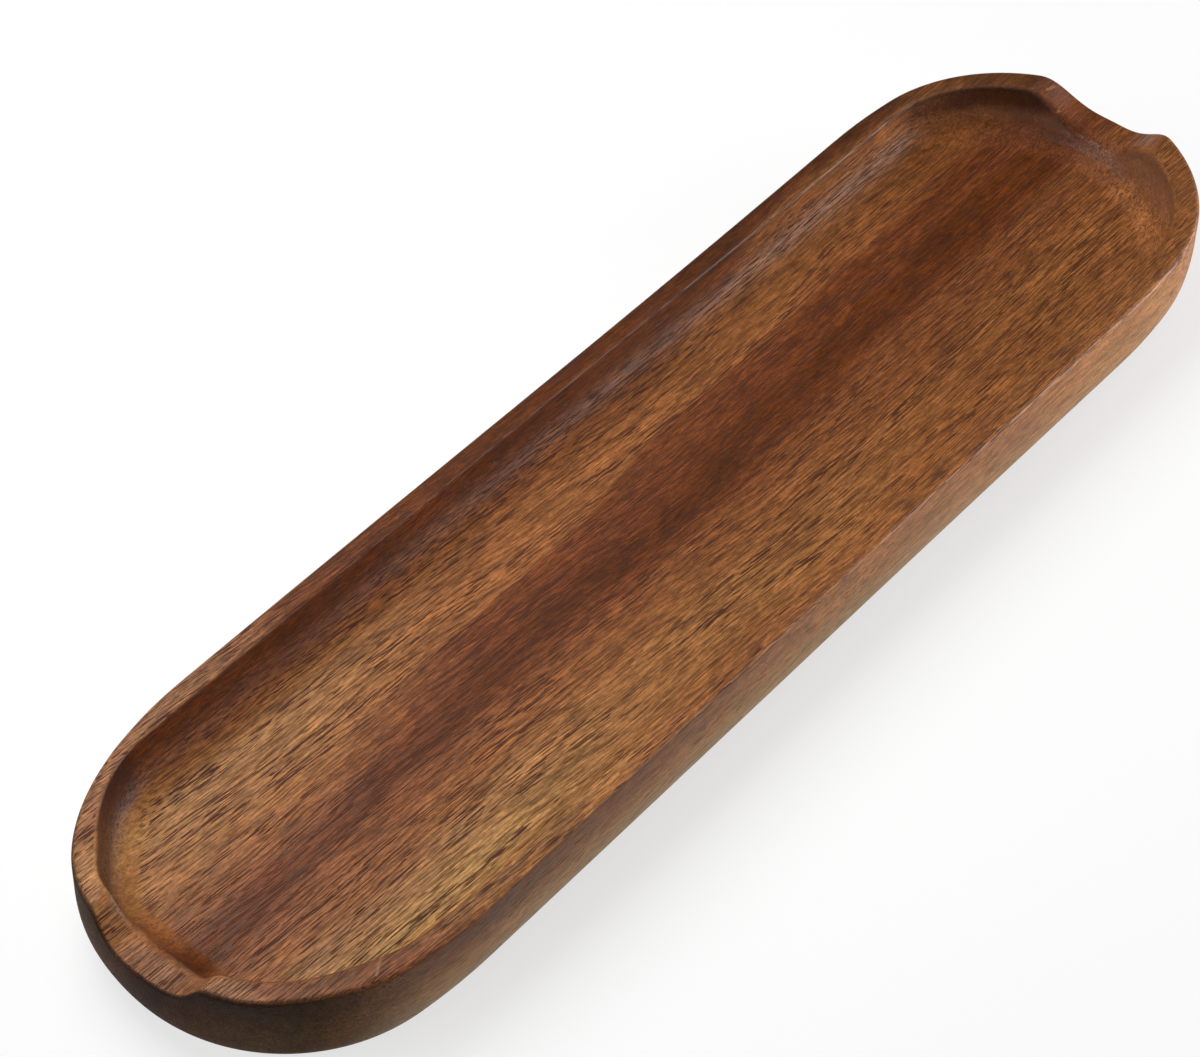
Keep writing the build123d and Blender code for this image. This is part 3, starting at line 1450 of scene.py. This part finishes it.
@dataclass(frozen=True)
class SoftBox:
    """A soft white rectangular lamp that looks at the tray."""

    name: str
    direction: Point
    distance: float
    width: float
    height: float
    level: float

    def build(self, target: Vector) -> bpy.types.Object:
        """Makes the lamp. A watt count of pi squared times the distance squared lights white to 1.

        Args:
            target: The point that the lamp looks at.

        Returns:
            The lamp.
        """
        data = bpy.data.lights.new(self.name, "AREA")
        data.shape = "RECTANGLE"
        data.size, data.size_y = self.width, self.height
        data.energy = self.level * math.pi**2 * self.distance**2
        lamp = bpy.data.objects.new(self.name, data)
        way = Vector(self.direction).normalized()
        lamp.location = target + way * self.distance
        lamp.rotation_mode = "QUATERNION"
        lamp.rotation_quaternion = (-way).to_track_quat("-Z", "Y")
        bpy.context.scene.collection.objects.link(lamp)
        return lamp


@dataclass
class Studio:
    """Floor, lamps, world and camera."""

    floor_radius: float = 4.0
    floor_rings: tuple[float, ...] = (0.0, 0.1, 0.5, 1.0)
    floor_steps: int = 96
    world_level: float = 0.06
    camera_place: Point = (-286.59 * MM, -215.92 * MM, 392.37 * MM)
    camera_aim: Point = (-7.21 * MM, 7.34 * MM, 7.0 * MM)
    camera_roll: float = math.radians(1.5)
    lens: float = 120.85
    sensor_width: float = 36.0
    lamps: tuple[SoftBox, ...] = (
        SoftBox("over_box", (-0.13, 0.43, 0.89), 0.262, 0.20, 0.20, 1.0),
        SoftBox("top_box", (0.0, 0.10, 1.0), 1.1, 0.7, 0.7, 0.12),
        SoftBox("left_box", (-0.82, 0.40, 0.42), 1.0, 0.80, 0.18, 0.28),
        SoftBox("right_box", (0.76, -0.63, 0.12), 0.40, 0.28, 0.09, 1.32),
    )

    def floor(self) -> bpy.types.Object:
        """A flat disc: rings of points about the origin, in the plane that the feet stand on.

        Returns:
            The floor.
        """
        reach = np.array(self.floor_rings) * self.floor_radius
        angle = np.linspace(0.0, 2 * math.pi, self.floor_steps, endpoint=False)
        x, y = reach[:, None] * np.cos(angle), reach[:, None] * np.sin(angle)
        floor = ring_mesh("floor", np.stack([x, y, np.zeros_like(x)], axis=-1))
        floor.data.materials.append(PaleFloor().material())
        return floor

    def world(self) -> None:
        """Lights the room evenly from all round."""
        world = bpy.data.worlds.new("studio_room")
        world.use_nodes = True
        sheet = NodeSheet(world.node_tree)
        light = {"Color": (1.0, 1.0, 1.0, 1.0), "Strength": self.world_level}
        glow = sheet.add("ShaderNodeBackground", {}, light)
        sheet.add("ShaderNodeOutputWorld", {}, {"Surface": glow.outputs[0]})
        bpy.context.scene.world = world

    def camera(self) -> bpy.types.Object:
        """Sets up the camera that looks down along the tray.

        Returns:
            The camera.
        """
        data = bpy.data.cameras.new("camera")
        data.lens, data.sensor_width, data.sensor_fit = self.lens, self.sensor_width, "HORIZONTAL"
        camera = bpy.data.objects.new("camera", data)
        place, aim = Vector(self.camera_place), Vector(self.camera_aim)
        camera.location = place
        camera.rotation_mode = "QUATERNION"
        level = (aim - place).to_track_quat("-Z", "Y")
        camera.rotation_quaternion = level @ Quaternion((0.0, 0.0, 1.0), self.camera_roll)
        bpy.context.scene.collection.objects.link(camera)
        bpy.context.scene.camera = camera
        return camera

    def build(self) -> None:
        """Sets up everything round the tray."""
        self.floor()
        self.world()
        for lamp in self.lamps:
            lamp.build(Vector((0.0, 0.0, 0.0)))
        self.camera()
        bpy.context.scene.view_settings.view_transform = "Standard"


def main() -> None:
    """Builds the tray, its feet and the studio."""
    logging.basicConfig(level=logging.INFO, format="%(name)s: %(message)s")
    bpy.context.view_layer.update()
    tray = TrayBody(*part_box("tray_body"))
    board = tray.dress(OiledWood())
    log.info("%s: %d faces", board.name, len(board.data.polygons))
    rubber = FootRubber().material()
    for end in TrayEnd:
        for side in TraySide:
            pad = StickOnFoot(f"foot_{end.name.lower()}_{side.name.lower()}").dress(rubber)
            log.info("%s: %d faces", pad.name, len(pad.data.polygons))
    Studio().build()


if __name__ == "__main__":
    main()
